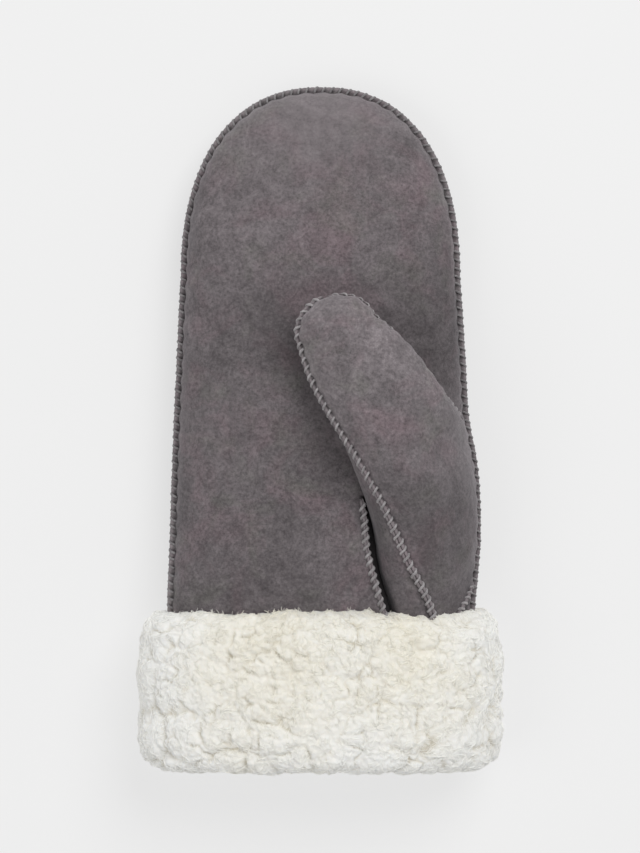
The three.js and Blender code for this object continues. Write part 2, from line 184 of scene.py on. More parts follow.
# Places along the thumb: 0 is its root, 1 where its tip begins, and 2 the tip's end
THUMB_FROM = 0.06
THUMB_TO = 1.992
SEAM_FROM = 0.12
FAR_SEAM_FROM = 0.62
SEAM_TO = 1.97
FOOT_SEAM_ALONG = (0.135, 0.232)
FOOT_SEAM_DEGREES = (58, 3)

# The wool, in millimetres
LOCK_SIZE = 16
LOCK_RELIEF = 2.5
LOCK_CRACK = 1.1
TUFT_SIZE = 6.5
TUFT_RELIEF = 1.2
TUFT_CRACK = 0.8
CURL_SIZE = 2.4
CURL_RELIEF = 0.75
CRACK_RELIEF = 1.1
STRAY_SWELLS = ((2.6, 26), (0.9, 9), (0.45, 4.5))
RAGGED_SWELLS = ((0.9, 17), (0.6, 6))
LINING_SWELLS = ((1, 9), (0.7, 4.5))
LINING_LUMPS = 0.7
LINING_WALL = 0.75 * PILE
CUFF_WAY = 101
CUFF_FIRST = 0.052
CUFF_INSIDE = 0.045
CUFF_FOOT = 0.187
MOUTH_DEPTH = 64
TUFT_SEED = 102
CLUMP_ROWS = 400
CLUMP_SHIFTED_ROWS = 50
CLUMP_DRAWS = 100000


class Table:
    """A smooth reading of a table of sections, whose first column says how far along each row lies."""

    def __init__(self, columns, rows):
        data = np.array(rows, float)
        self.columns = columns
        self.at = data[:, 0]
        self.values = data[:, 1:]
        secants = np.diff(self.values, axis=0) / np.diff(self.at)[:, None]
        inner = (secants[1:] + secants[:-1]) / 2
        self.slopes = np.vstack([secants[:1], inner, secants[-1:]])

    def read(self, along):
        along = np.clip(np.asarray(along, float), self.at[0], self.at[-1])
        i = np.clip(np.searchsorted(self.at, along, side="right") - 1, 0, len(self.at) - 2)
        step = (self.at[i + 1] - self.at[i])[..., None]
        t = (along - self.at[i])[..., None] / step
        value = (
            (1 + 2 * t) * (1 - t) ** 2 * self.values[i]
            + t * (1 - t) ** 2 * step * self.slopes[i]
            + t * t * (3 - 2 * t) * self.values[i + 1]
            + t * t * (t - 1) * step * self.slopes[i + 1]
        )
        return SimpleNamespace(**dict(zip(self.columns, np.moveaxis(value, -1, 0))))


HAND = Table(HAND_COLUMNS, HAND_SECTIONS)
THUMB = Table(THUMB_COLUMNS, THUMB_SECTIONS)
PROFILE = Table(PROFILE_COLUMNS, CUFF_PROFILE)


def signed_power(value, power):
    return np.sign(value) * np.abs(value) ** power


def unit(vectors):
    return vectors / np.maximum(np.linalg.norm(vectors, axis=-1, keepdims=True), 1e-9)


def bell(offset, width):
    """1 where offset is 0, fading to almost 0 at twice the width."""
    return np.exp(-((offset / width) ** 2))


def waves(points, length, seed, count=9):
    """A soft random field over points, about -1 to 1, whose swells are about length apart."""
    rng = np.random.default_rng(seed)
    directions = unit(rng.normal(size=(count, 3)))
    turns = rng.uniform(0.7, 1.4, count) * 2 * math.pi / length
    phases = rng.uniform(0, 2 * math.pi, count)
    return np.sin(points @ directions.T * turns + phases).sum(-1) / math.sqrt(2 * count)


def swells(points, rows, seed):
    """Waves of several sizes added up, from rows of height and length."""
    return sum(height * waves(points, length, seed + k) for k, (height, length) in enumerate(rows))


def run_along(path):
    """How far along a path each of its points lies."""
    return np.concatenate([[0], np.cumsum(np.linalg.norm(np.diff(path, axis=0), axis=1))])


def resample(path, count, *fields):
    """A path and its fields at count places an even distance apart."""
    run = run_along(path)
    places = np.linspace(0, run[-1], count)
    columns = [[np.interp(places, run, column) for column in field.T] for field in (path, *fields)]
    return [np.stack(column, -1) for column in columns]


def grid_normals(points, wrap=False):
    """Unit normals of a grid of points, rows crossed with columns."""
    down = np.gradient(points, axis=0)
    across = np.gradient(points, axis=1)
    if wrap:
        across = (np.roll(points, -1, axis=1) - np.roll(points, 1, axis=1)) / 2
    return unit(np.cross(down, across))


# Meshes
def grid_faces(rows, columns, wrap_rows=False, wrap_columns=False):
    """The faces of a grid of points that are numbered row after row."""
    here = np.arange(rows * columns).reshape(rows, columns)
    below = np.roll(here, -1, axis=0)
    corners = np.stack([here, below, np.roll(below, -1, axis=1), np.roll(here, -1, axis=1)], -1)
    return corners[: None if wrap_rows else -1, : None if wrap_columns else -1].reshape(-1, 4)


# The cuff's fold on the frame's y axis, counted back from the far end of the back's solid
FOLD_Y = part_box("back_panel")[1].y / MM - (MITTEN_LENGTH + SEAM_LIP)


def add_object(name, data):
    added = bpy.data.objects.new(name, data)
    scene.collection.objects.link(added)
    return added


def make_piece(name, points, faces, material, slot, replaces=(), tones=None, merge=0.0, smooth=True):
    """A mesh piece from points in millimetres. Points closer than merge become one."""
    placed = (np.asarray(points).reshape(-1, 3) + (0, FOLD_Y, 0)) * MM
    mesh = bpy.data.meshes.new(name)
    mesh.from_pydata(placed.tolist(), [], faces if isinstance(faces, list) else faces.tolist())
    if tones is not None:
        layer = mesh.attributes.new("tone", "FLOAT", "POINT")
        layer.data.foreach_set("value", np.asarray(tones, np.float32).reshape(-1))
    piece = add_object(name, mesh)
    if merge > 0:
        weld = piece.modifiers.new("weld", "WELD")
        weld.merge_threshold = merge * MM
        apply_modifiers(piece)
    if smooth:
        piece.data.shade_smooth()
    piece.data.materials.append(material)
    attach(piece, "root")
    if replaces:
        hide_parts(*replaces)
    return piece


def apply_modifiers(piece):
    """Puts the piece's modifiers into its mesh."""
    shaped = piece.evaluated_get(bpy.context.evaluated_depsgraph_get())
    mesh = bpy.data.meshes.new_from_object(shaped)
    old = piece.data
    piece.modifiers.clear()
    piece.data = mesh
    bpy.data.meshes.remove(old)
    mesh.name = piece.name


def thicken(piece, wall):
    """Gives a sheet its wall, inwards."""
    shell = piece.modifiers.new("wall", "SOLIDIFY")
    shell.thickness = wall * MM
    shell.offset = -1
    apply_modifiers(piece)
    piece.data.shade_smooth()


def make_hide(name, node, points, tones, keep, material, flip=False, merge=0.0):
    """A hide from a grid of points, with the faces whose corners are all kept."""
    faces = grid_faces(*points.shape[:2])
    faces = faces[keep.reshape(-1)[faces].all(-1)]
    used = np.unique(faces)
    renumbered = np.zeros(keep.size, int)
    renumbered[used] = np.arange(len(used))
    faces = renumbered[faces][:, :: -1 if flip else 1]
    points, tones = points.reshape(-1, 3)[used], tones.reshape(-1)[used]
    thicken(make_piece(name, points, faces, material, "suede", (node,), tones, merge), SCENE_HIDE)


def closed_bar(points):
    """The points and faces of a bar given as rings of points, with both of its ends closed."""
    rings, sides, _ = points.shape
    faces = grid_faces(rings, sides, wrap_columns=True).tolist()
    faces.append(list(range(sides)))
    faces.append(list(range(rings * sides - 1, rings * sides - 1 - sides, -1)))
    return points.reshape(-1, 3), faces


def tubes(paths, radii, sides, twist=(0.31, 0.17, 0.93)):
    """Many tubes at once, with a radius at each point. twist is a direction that no path follows."""
    count, length, _ = paths.shape
    tangents = unit(np.gradient(paths, axis=1))
    first = unit(np.cross(tangents, np.broadcast_to(twist, tangents.shape)))
    second = np.cross(tangents, first)
    angles = np.linspace(0, 2 * math.pi, sides, endpoint=False)
    ring = first[:, :, None] * np.cos(angles)[:, None] + second[:, :, None] * np.sin(angles)[:, None]
    points = paths[:, :, None] + ring * radii[:, :, None, None]
    one = grid_faces(length, sides, wrap_columns=True)
    starts = np.arange(count)[:, None, None] * length * sides
    walls = (one[None] + starts).reshape(-1, 4)
    near = np.arange(sides)[None] + starts[:, 0]
    far = (length * sides - 1 - np.arange(sides))[None] + starts[:, 0]
    return points.reshape(-1, 3), walls.tolist() + near.tolist() + far.tolist()


# The hand's surfaces
def hand_section(y, inset=0.0):
    """The hand's edges and heights at a distance y from the fold, drawn in by inset."""
    share = HAND.read(np.asarray(y, float) / MITTEN_LENGTH)
    return SimpleNamespace(
        left=inset - share.left * PALM_WIDTH,
        right=share.right * PALM_WIDTH - inset,
        middle=(share.right - share.left) * PALM_WIDTH / 2,
        seam=share.seam * BODY_DEPTH + share.lift * CUFF_PILE_FLAT,
        rise=share.rise * BODY_DEPTH - inset,
        drop=share.drop * BODY_DEPTH - inset,
    )


def hand_outline(from_y, inset, side_count, tip_count):
    """Stations up the left side, round the fingertips and down the right: centre, edge and outward."""
    y = np.linspace(from_y, TIP_START, side_count)
    side = hand_section(y, inset)
    start = hand_section(TIP_START, inset)
    angle = np.linspace(math.pi, 0, tip_count + 2)[1:-1]
    reach = np.where(np.cos(angle) < 0, start.middle - start.left, start.right - start.middle)
    across = signed_power(np.cos(angle), 2 / TIP_ROUND) * reach
    forward = np.sin(angle) ** (2 / TIP_ROUND) * (TIP_LENGTH - inset)
    tip_out = unit(np.stack([across / reach**2, forward / TIP_LENGTH**2], -1))
    tip_edge = np.stack([start.middle + across, TIP_START + forward], -1)
    tip_centre = np.broadcast_to([start.middle, TIP_START], tip_edge.shape)
    left = np.stack([side.left, y], -1)
    right = np.stack([side.right, y], -1)[::-1]
    middle = np.stack([side.middle, y], -1)
    outward = np.broadcast_to([-1.0, 0.0], left.shape)
    return SimpleNamespace(
        edge=np.concatenate([left, tip_edge, right]),
        centre=np.concatenate([middle, tip_centre, middle[::-1]]),
        outward=np.concatenate([outward, tip_out, -outward]),
    )


def leaning(x, y):
    """x where the fingertips lean a little to the right."""
    return x + TIP_LEAN * (np.clip(y - TIP_START, 0, None) / TIP_LENGTH) ** 2


def crown(level):
    """How high a hide stands at a level, from 1 in the middle to 0 at its edge."""
    return np.clip(1 - level**SIDE_ROUND, 0, None) ** (1 / CROWN_ROUND)


def hand_points(outline, level, side, inset=0.0):
    """The palm, side 1, or the back, side -1: a row for each station, from the middle to the edge."""
    flat = outline.centre[:, None] + (outline.edge - outline.centre)[:, None] * level[:, None]
    section = hand_section(flat[..., 1], inset)
    height = section.rise if side > 0 else -section.drop
    z = np.maximum(section.seam + crown(level) * height, inset)
    return np.stack([leaning(flat[..., 0], flat[..., 1]), flat[..., 1], z], -1)


def even_levels(count):
    """Levels from the middle to the edge, closer together where the surface turns down."""
    angle = np.linspace(0, math.pi / 2, count)
    return np.sin(angle) ** (2 / SIDE_ROUND)


def palm_height(x, y):
    """How high the palm lies at a place seen from above."""
    section = hand_section(y)
    reach = np.where(x < section.middle, section.middle - section.left, section.right - section.middle)
    level = np.clip(np.abs(x - section.middle) / reach, 0, 1)
    return section.seam + section.rise * crown(level)


def side_seam_line():
    """The side seam's own line, with the directions out of the hand and up."""
    outline = hand_outline(FOLD_DEPTH + 2, 0.0, 220, 160)
    x, y = outline.edge.T
    path = np.stack([leaning(x, y), y, hand_section(y).seam], -1)
    out = np.concatenate([outline.outward, np.zeros((len(path), 1))], -1)
    up = np.broadcast_to([0.0, 0.0, 1.0], path.shape)
    return path, out, up


# The thumb's surfaces
def thumb_points(along, angle, inset=0.0):
    """Points on the thumb: angle 0 is its right edge, a quarter turn its top, half a turn its left."""
    along, angle = np.broadcast_arrays(along, angle)
    past = np.clip(along - 1, 0, None) * math.pi / 2
    share = THUMB.read(np.minimum(along, 1))
    ends = []
    for side in ("left", "right"):
        x = getattr(share, side + "_x") * PALM_WIDTH
        y = getattr(share, side + "_y") * THUMB_LENGTH + THUMB_BASE
        z = getattr(share, side + "_z") * BODY_DEPTH + getattr(share, side + "_up") * THUMB_DEPTH
        ends.append(np.stack([x, y, z], -1))
    left, right = ends
    on_hand = hand_section(right[..., 1])
    seam = np.stack([on_hand.right, right[..., 1], on_hand.seam], -1)
    right = right + (seam - right) * np.clip(share.on_seam, 0, 1)[..., None]
    across = unit((right - left) * (1, 1, 0))
    left = left + across * inset
    right = right - across * inset
    forward = np.cross([0, 0, 1.0], across)
    rise = share.rise * THUMB_DEPTH - inset
    drop = share.drop * THUMB_DEPTH - inset
    middle = (left + right) / 2 + forward * (np.sin(past) * (THUMB_TIP - inset))[..., None]
    points = middle + (right - left) / 2 * (np.cos(angle) * np.cos(past))[..., None]
    points[..., 2] += np.sin(angle) * np.where(np.sin(angle) > 0, rise, drop) * np.cos(past)
    return points


def near_seam(along):
    """The angle of the seam that shows on the thumb's left side."""
    return np.radians(180 - THUMB.read(np.minimum(along, 1)).turn)


def far_seam(along):
    """The angle of the seam a little under the thumb's right side."""
    return np.radians(-THUMB.read(np.minimum(along, 1)).under)


def round_to_far_seam(along):
    """The far seam, reached under the thumb."""
    return far_seam(along) + 2 * math.pi


def foot_seam(along):
    """The angle of the short seam at the foot of the thumb's right side."""
    return np.radians(np.interp(along, FOOT_SEAM_ALONG, FOOT_SEAM_DEGREES))


def along_thumb(start, stop, count, tip_count):
    """Places along the thumb, closer together on its tip."""
    return np.concatenate([np.linspace(start, 1, count), np.linspace(1, stop, tip_count)[1:]])


# Materials
class Nodes:
    """Short ways to add shader nodes to a material."""

    def __init__(self, name):
        self.material = bpy.data.materials.new(name)
        self.material.use_nodes = True
        self.tree = self.material.node_tree
        self.tree.nodes.clear()
        output = self.add("ShaderNodeOutputMaterial")
        self.shader = self.add("ShaderNodeBsdfPrincipled")
        self.put(output.inputs[0], self.shader.outputs[0])
        self.place = self.add("ShaderNodeTexCoord").outputs["Object"]

    def add(self, kind, settings=None, **inputs):
        node = self.tree.nodes.new(kind)
        for key, value in (settings or {}).items():
            setattr(node, key, value)
        for key, value in inputs.items():
            self.put(node.inputs[key.replace("_", " ")], value)
        return node

    def put(self, socket, value):
        """Links a socket to another one, or sets it to a number or a colour."""
        if isinstance(value, bpy.types.NodeSocket):
            self.tree.links.new(value, socket)
        elif isinstance(value, (int, float)):
            socket.default_value = value
        else:
            socket.default_value = (*value, 1.0)

    def noise(self, size, detail=3.0, roughness=0.55, distortion=0.0):
        """Noise whose patches are about size millimetres."""
        node = self.add(
            "ShaderNodeTexNoise", Vector=self.place, Scale=1 / (size * MM), Detail=detail,
            Roughness=roughness, Distortion=distortion,
        )
        return node.outputs["Fac"]

    def tone(self):
        return self.add("ShaderNodeAttribute", {"attribute_name": "tone"}).outputs["Fac"]

    def ramp(self, value, low, high, from_value=0.0, to_value=1.0):
        ends = {"From Min": low, "From Max": high, "To Min": from_value, "To Max": to_value}
        return self.add("ShaderNodeMapRange", {"clamp": True}, Value=value, **ends).outputs[0]

    def mix(self, factor, first, second, blend="MIX"):
        node = self.add("ShaderNodeMix", {"data_type": "RGBA", "blend_type": blend})
        for socket, value in zip((0, 6, 7), (factor, first, second)):
            self.put(node.inputs[socket], value)
        return node.outputs[2]

    def overlay(self, colour, strength, pattern, greys):
        """Darkens and lightens a colour by a pattern between two greys."""
        return self.mix(strength, colour, self.mix(pattern, *greys), "OVERLAY")

    def maths(self, operation, first, second):
        node = self.add("ShaderNodeMath", {"operation": operation})
        self.put(node.inputs[0], first)
        self.put(node.inputs[1], second)
        return node.outputs[0]

    def bump(self, height, distance, strength, normal=None):
        """Relief of a height in millimetres, over the normal given."""
        node = self.add("ShaderNodeBump", Height=height, Distance=distance * MM, Strength=strength)
        if normal is not None:
            self.put(node.inputs["Normal"], normal)
        return node.outputs[0]

    def finish(self, colour, normal, **constants):
        self.put(self.shader.inputs["Base Color"], colour)
        self.put(self.shader.inputs["Normal"], normal)
        for key, value in constants.items():
            self.shader.inputs[key.replace("_", " ")].default_value = value
        return self.material


SUEDE_LIGHT = (0.158, 0.140, 0.146)
SUEDE_DARK = (0.124, 0.111, 0.115)
SUEDE_MAUVE = (0.162, 0.122, 0.133)
SUEDE_OLIVE = (0.134, 0.131, 0.120)
# The colours the tones mix in: paler for wear and painted light, darker for grime and painted shade
SUEDE_WORN_AND_LIT = 2.0
SUEDE_SHADED = 0.22
BRUSHED_GREYS = ((0.25, 0.25, 0.25), (0.75, 0.75, 0.75))
NAP_GREYS = ((0.16, 0.155, 0.16), (0.84, 0.84, 0.84))


def scaled(share, *colours):
    return [[share * part for part in colour] for colour in colours]


def suede_material(name, shade):
    """Suede: cloudy colour with warm and green patches, and a brushed nap."""
    light, dark, mauve, olive = scaled(shade, SUEDE_LIGHT, SUEDE_DARK, SUEDE_MAUVE, SUEDE_OLIVE)
    n = Nodes(name)
    clouds = n.noise(42, distortion=0.5)
    colour = n.mix(n.ramp(clouds, 0.36, 0.64), dark, light)
    warm = n.noise(23, detail=4, roughness=0.6, distortion=0.6)
    colour = n.mix(n.ramp(warm, 0.48, 0.68, 0.0, 0.7), colour, mauve)
    green = n.noise(19, roughness=0.6, distortion=0.4)
    colour = n.mix(n.ramp(green, 0.52, 0.72, 0.0, 0.6), colour, olive)
    brushed = n.noise(7, detail=5, roughness=0.7, distortion=0.8)
    colour = n.overlay(colour, 0.5, n.ramp(brushed, 0.32, 0.68), BRUSHED_GREYS)
    nap = n.noise(1.3, detail=6, roughness=0.75)
    colour = n.overlay(colour, 0.65, n.ramp(nap, 0.3, 0.7), NAP_GREYS)
    tone = n.tone()
    uneven = n.ramp(n.noise(4), 0.3, 0.7, 0.5, 1.0)
    # Tone above 0.5 pales the suede for wear and for painted light; below 0.5 darkens it for grime and
    # painted shade
    wear_and_painted_light = n.maths("MULTIPLY", n.ramp(tone, 0.5, 1.0), uneven)
    colour = n.mix(wear_and_painted_light, colour, [SUEDE_WORN_AND_LIT * part for part in light])
    colour = n.mix(n.ramp(tone, 0.5, 0.0), colour, [SUEDE_SHADED * part for part in dark])
    fibres = n.bump(n.noise(0.7, detail=5, roughness=0.8), 0.3, 0.5)
    tufted = n.bump(brushed, 0.5, 0.35, fibres)
    return n.finish(
        colour, tufted, Roughness=0.95, Sheen_Weight=0.25, Sheen_Roughness=0.5, Specular_IOR_Level=0.1,
        Sheen_Tint=(0.82, 0.8, 0.83, 1),
    )


def thread_material(name, low, high):
    """Waxed thread whose colour varies from low to high."""
    n = Nodes(name)
    colour = n.mix(n.ramp(n.noise(2.2, detail=4), 0.35, 0.65), low, high)
    twist = n.bump(n.noise(0.35, detail=2), 0.12, 0.6)
    return n.finish(colour, twist, Roughness=0.7, Sheen_Weight=0.3, Specular_IOR_Level=0.25)


WOOL_CREAM = (0.86, 0.83, 0.735)
WOOL_WHITE = (0.895, 0.892, 0.865)
WOOL_ROOT = (0.73, 0.69, 0.59)
FLECK_GREYS = ((0.35, 0.34, 0.32), (0.65, 0.65, 0.65))
# Where painted light makes the cuff paler, in metres in the frame: away from its middle, and towards its
# fold
PAINTED_LIGHT_ASIDE = (0.03, 0.068)
PAINTED_LIGHT_BELOW = (-0.096, -0.13)


def wool_material(name, subsurface, bright):
    """Wool: near white at the tips, creamier and darker down in the cracks from its roots and painted
    shadow, and with painted light paling it at the cuff's sides and fold.
    """
    cream, white, root = scaled(bright, WOOL_CREAM, WOOL_WHITE, WOOL_ROOT)
    n = Nodes(name)
    tone = n.tone()
    patches = n.ramp(n.noise(38, detail=2), 0.35, 0.65, 0.0, 0.5)
    # Painted light: the wool is made paler away from the middle and towards the fold, over random pale
    # patches
    across, along = n.add("ShaderNodeSeparateXYZ", Vector=n.place).outputs[:2]
    near, far = PAINTED_LIGHT_ASIDE
    aside = n.ramp(n.maths("MULTIPLY", across, across), near**2, far**2, 0.0, 0.8)
    below = n.ramp(along, *PAINTED_LIGHT_BELOW, 0.0, 0.7)
    pale_patches_and_painted_light = n.maths("ADD", patches, n.maths("ADD", aside, below))
    colour = n.mix(n.ramp(tone, 0.0, 0.7), root, n.mix(pale_patches_and_painted_light, cream, white))
    flecks = n.ramp(n.noise(1.8, detail=4, roughness=0.7), 0.3, 0.7)
    colour = n.overlay(colour, 0.1, flecks, FLECK_GREYS)
    fine = n.bump(n.noise(0.9, detail=4, roughness=0.75, distortion=1.2), 0.4, 0.5)
    return n.finish(
        colour, fine, Roughness=0.95, Sheen_Weight=0.3, Sheen_Roughness=0.5, Specular_IOR_Level=0.05,
        Subsurface_Weight=subsurface, Subsurface_Radius=(0.004, 0.0037, 0.0033), Subsurface_Scale=1.0,
    )


SUEDE = suede_material("suede", 1.0)
THUMB_SUEDE = suede_material("thumb_suede", 1.22)
THREAD = thread_material("thread", (0.23, 0.215, 0.22), (0.375, 0.355, 0.361))
DARK_THREAD = thread_material("dark_thread", (0.16, 0.15, 0.154), (0.27, 0.256, 0.26))
WOOL = wool_material("wool", 0.3, 1.0)
FIBRES = wool_material("wool_fibres", 0.0, 1.06)


# What the hides share
def over_side_seam(points):
    """1 on the right edge where the thumb bulges over the side seam, fading to 0 away from it."""
    near_edge = np.clip((points[..., 0] - OVERHANG_FROM_X) / 7, 0, 1)
    return near_edge * np.exp(-(((points[..., 1] - OVERHANG_MIDDLE_Y) / 27) ** 4))


def hide_swell(points, run, reach_in, rows, calm, seed):
    """Soft waves in a hide away from its edge, and small tucks beside its stitches."""
    run = np.broadcast_to(run[:, None], reach_in.shape)
    drift = 1.8 * waves(run[..., None] * (1, 0, 0), 37, seed + 3)
    pull = np.sin(2 * math.pi * run / (TUCK_PITCHES * STITCH_PITCH) + drift)
    tucks = TUCK_HEIGHT * pull * bell(reach_in, TUCK_REACH)
    return swells(points, rows, seed) * np.clip(reach_in / calm, 0, 1) + tucks


def edge_tones(reach_in, dark, dark_width, pale_at, pale_width):
    """A hide is darkened at its seam by grime and painted shade, and worn pale a few millimetres in from
    it.
    """
    return 0.5 + EDGE_RUB * bell(reach_in - pale_at, pale_width) - dark * bell(reach_in, dark_width)


def fade_down(points, from_y, length):
    """0 above from_y, growing to 1 over a length towards the cuff."""
    return np.clip((from_y - points[..., 1]) / length, 0, 1)


# The palm and the back
def crease_path():
    """The line where the thumb's left side rises out of the palm, from under the cuff upwards."""
    along = np.linspace(0.1, 0.5, 90)
    angle = np.linspace(math.pi / 2, 1.5 * math.pi, 240)
    rings = thumb_points(along[:, None], angle[None])
    above = rings[..., 2] - palm_height(rings[..., 0], rings[..., 1])
    first = np.argmax(above < 0, axis=1)
    rows = np.arange(len(along))
    before, after = above[rows, first - 1], above[rows, first]
    share = (before / (before - after))[:, None]
    return rings[rows, first - 1] * (1 - share) + rings[rows, first] * share


CREASE = crease_path()


def crease_gap(y):
    """How far the palm's sewn edge stands from the thumb's side: the gap opens towards the cuff."""
    return CREASE_GAP * np.clip(0.5 + 0.5 * (CREASE_TOP - y) / CREASE_OPENS, 0.5, 1)


def crease_distance(points):
    """How far points lie from the crease, seen from above, and whether they lie on its palm side."""
    apart = points[..., None, :2] - CREASE[:, :2]
    distance = np.linalg.norm(apart, axis=-1)
    nearest = distance.argmin(-1)[..., None]
    return distance.min(-1), np.take_along_axis(apart[..., 0], nearest, -1)[..., 0] < 0


def inside_thumb(points, margin):
    """Which points lie in the thumb drawn in by margin, by the section nearest to each."""
    along = np.linspace(0, 1, 200)
    left = thumb_points(along, math.pi, margin)
    across = thumb_points(along, 0.0, margin) - left
    share = THUMB.read(along)
    span = np.linalg.norm(across[:, :2], axis=-1)
    offset = points[..., None, :2] - left[:, :2]
    off_plane = np.abs(offset[..., 0] * across[:, 1] - offset[..., 1] * across[:, 0]) / span
    k = off_plane.argmin(-1)
    offset = points[..., :2] - left[k, :2]
    share_across = (offset * across[k, :2]).sum(-1) / span[k] ** 2
    cosine = 2 * share_across - 1
    sine = np.sqrt(np.clip(1 - cosine**2, 0, None))
    up = points[..., 2] - left[k, 2] - across[k, 2] * share_across
    below_top = up < (share.rise[k] * THUMB_DEPTH - margin) * sine
    above_bottom = up > -(share.drop[k] * THUMB_DEPTH - margin) * sine
    between_sections = off_plane.min(-1) < 3.0
    return (np.abs(cosine) < 1) & below_top & above_bottom & between_sections


def press_crease(points, tones):
    """Raises the palm's edge along the crease, presses a groove behind it, and paints shade into the
    groove.
    """
    distance, palm_side = crease_distance(points)
    gap = crease_gap(points[..., 1])
    groove = np.clip(0.5 + (gap - GROOVE_CLEAR - distance) / GROOVE_SLOPE, 0, 1)
    groove = groove * (points[..., 1] < CREASE_TOP + 1)
    lip = np.where(palm_side, bell(distance - gap, 3.0), 0)
    points[..., 2] += CREASE_LIP * lip - GROOVE_DEPTH * groove
    # Painted shade in the groove
    return tones - 0.5 * groove


def paint_palm_light_and_shade(points, tones):
    """Painted light on the fingertips and a little left of the palm's middle, and painted shade round the
    thumb and towards the cuff.
    """
    # Each patch paints light where its change is above 0 and shade where it is below; the last line paints
    # shade towards the cuff
    for change, x, y, size in PALM_LIGHT_AND_SHADE_PATCHES:
        tones = tones + change * bell(np.hypot(points[..., 0] - x, points[..., 1] - y), size)
    return tones - PALM_SHADE * fade_down(points, 105, 30)


def make_panel(name, side, node, side_count, tip_count, level_count, seed):
    """The palm, side 1, or the back, side -1."""
    outline = hand_outline(FOLD_DEPTH, 0.0, side_count, tip_count)
    points = hand_points(outline, even_levels(level_count), side)
    points[:, -1, 2] += side * PIECE_GAP / 2
    reach_in = np.linalg.norm(points - points[:, -1:], axis=-1)
    swell = hide_swell(points, run_along(outline.edge), reach_in, PANEL_SWELLS, PANEL_CALM, seed)
    if side < 0:
        swell *= np.clip(points[..., 2] / REST_FADE, 0, 1)
    points = points + side * grid_normals(points) * swell[..., None]
    tones = edge_tones(reach_in, 0.42, 1.9, 4.0, 1.6)
    keep = np.ones(points.shape[:2], bool)
    if side > 0:
        tones = press_crease(points, tones)
        tones = paint_palm_light_and_shade(points, tones)
        keep = ~inside_thumb(points, UNDER_THUMB)
    points[..., 2] = np.maximum(points[..., 2], 0)
    make_hide(name, node, points, tones, keep, SUEDE, flip=side < 0, merge=0.01)


# The sewn edges
def hide_edge(proud, depth):
    """One hide of a sewn edge, seen end on, with the other hide against it."""
    return np.array([
        (-EDGE_ROOT, 0.1),
        (0.72 * proud, 0.08),
        (0.94 * proud, 0.2 * depth),
        (proud, 0.48 * depth),
        (0.93 * proud, 0.78 * depth),
        (0.68 * proud, depth),
        (0.2 * proud, 1.04 * depth),
        (-0.6, 1.2 * depth),
        (-EDGE_ROOT, 1.3 * depth),
    ])


def onward(turn):
    """How far a slanting stitch has moved along its seam where it has gone round by turn."""
    return -STITCH_SLANT * STITCH_PITCH * turn / STITCH_TURN


def make_sewn_edge(name, path, out, up, proud, depth, seed):
    """The two hides of a seam standing up side by side, swelling between its slanting stitches."""
    stitches = max(4, round(run_along(path)[-1] / STITCH_PITCH))
    path, out, up = resample(path, STITCH_SAMPLES * stitches + 1, out, up)
    out, up = unit(out), unit(up)
    places = np.arange(len(path)) * STITCH_PITCH / STITCH_SAMPLES
    uneven = 1 + 0.05 * waves(path, 9, seed)[:, None, None]
    for label, sign in (("a", 1), ("b", -1)):
        ring = hide_edge(proud, depth) * (1, sign)
        turn = np.arctan2(ring[:, 1], ring[:, 0] + 1.2)
        phase = 2 * math.pi * (places[:, None] - onward(turn)[None]) / STITCH_PITCH
        dip = (0.5 + 0.5 * np.cos(phase)) ** 2
        shape = ring[None] * (1.04 - 0.2 * dip[..., None]) * uneven
        if sign < 0:
            shape, dip = shape[:, ::-1], dip[:, ::-1]
        points = path[:, None] + out[:, None] * shape[..., :1] + up[:, None] * shape[..., 1:]
        outer = np.clip((shape[..., 0] / proud - 0.25) / 0.5, 0, 1)
        # Tones: worn pale towards the outer edge, darker in the dips between stitches with grime and
        # painted shade, and a painted shadow where the thumb bulges over the side seam
        tones = 0.34 + 0.46 * outer - 0.24 * dip - 0.2 * over_side_seam(path)[:, None]
        make_piece(f"{name}_{label}", *closed_bar(points), SUEDE, "suede", tones=tones)
    return path, out, up, stitches


def make_stitches(name, path, out, up, stitches, proud, depth, thread, material, seed):
    """Whip stitches: slanting loops of thread over a sewn edge, one in each dip."""
    rng = np.random.default_rng(seed)
    tangent = unit(np.gradient(path, axis=0))
    index = np.arange(1, stitches) * STITCH_SAMPLES
    turn = np.linspace(STITCH_TURN, -STITCH_TURN, STITCH_POINTS)
    jitter = rng.uniform(-0.08, 0.08, (len(index), 1)) * STITCH_PITCH
    tight = rng.uniform(0.94, 1.06, (len(index), 1))
    middle = 0.35 * proud
    round_out = signed_power(np.cos(turn), 2 / STITCH_ROUND) * (0.56 * proud + 0.3 * thread) * tight
    outwards = np.where(np.cos(turn) < 0, middle + np.cos(turn) * EDGE_ROOT, middle + round_out)
    upwards = signed_power(np.sin(turn), 2 / STITCH_ROUND) * (0.88 * depth + 0.5 * thread) * tight
    onwards = jitter + onward(turn)
    paths = path[index][:, None]
    for direction, moved in ((tangent, onwards), (out, outwards), (up, upwards)):
        paths = paths + direction[index][:, None] * moved[..., None]
    radii = thread * rng.uniform(0.88, 1.12, (len(index), 1)) * np.ones(len(turn))
    points, faces = tubes(paths, radii, 6, tangent[index][:, None])
    make_piece(name, points, faces, material, "suede")


def make_seam(name, line, material=THREAD):
    """A sewn edge and its stitches, along a line with its directions out and up."""
    proud, depth, thread, seed = SEAMS[name]
    sewn = make_sewn_edge(name, *line, proud, depth, seed)
    make_stitches(name + "_stitches", *sewn, proud, depth, thread, material, seed + 1)


def make_hand():
    make_panel("palm", 1, "palm_panel", 160, 120, 46, 11)
    make_panel("back", -1, "back_panel", 96, 76, 30, 23)
    make_seam("side_seam", side_seam_line(), DARK_THREAD)


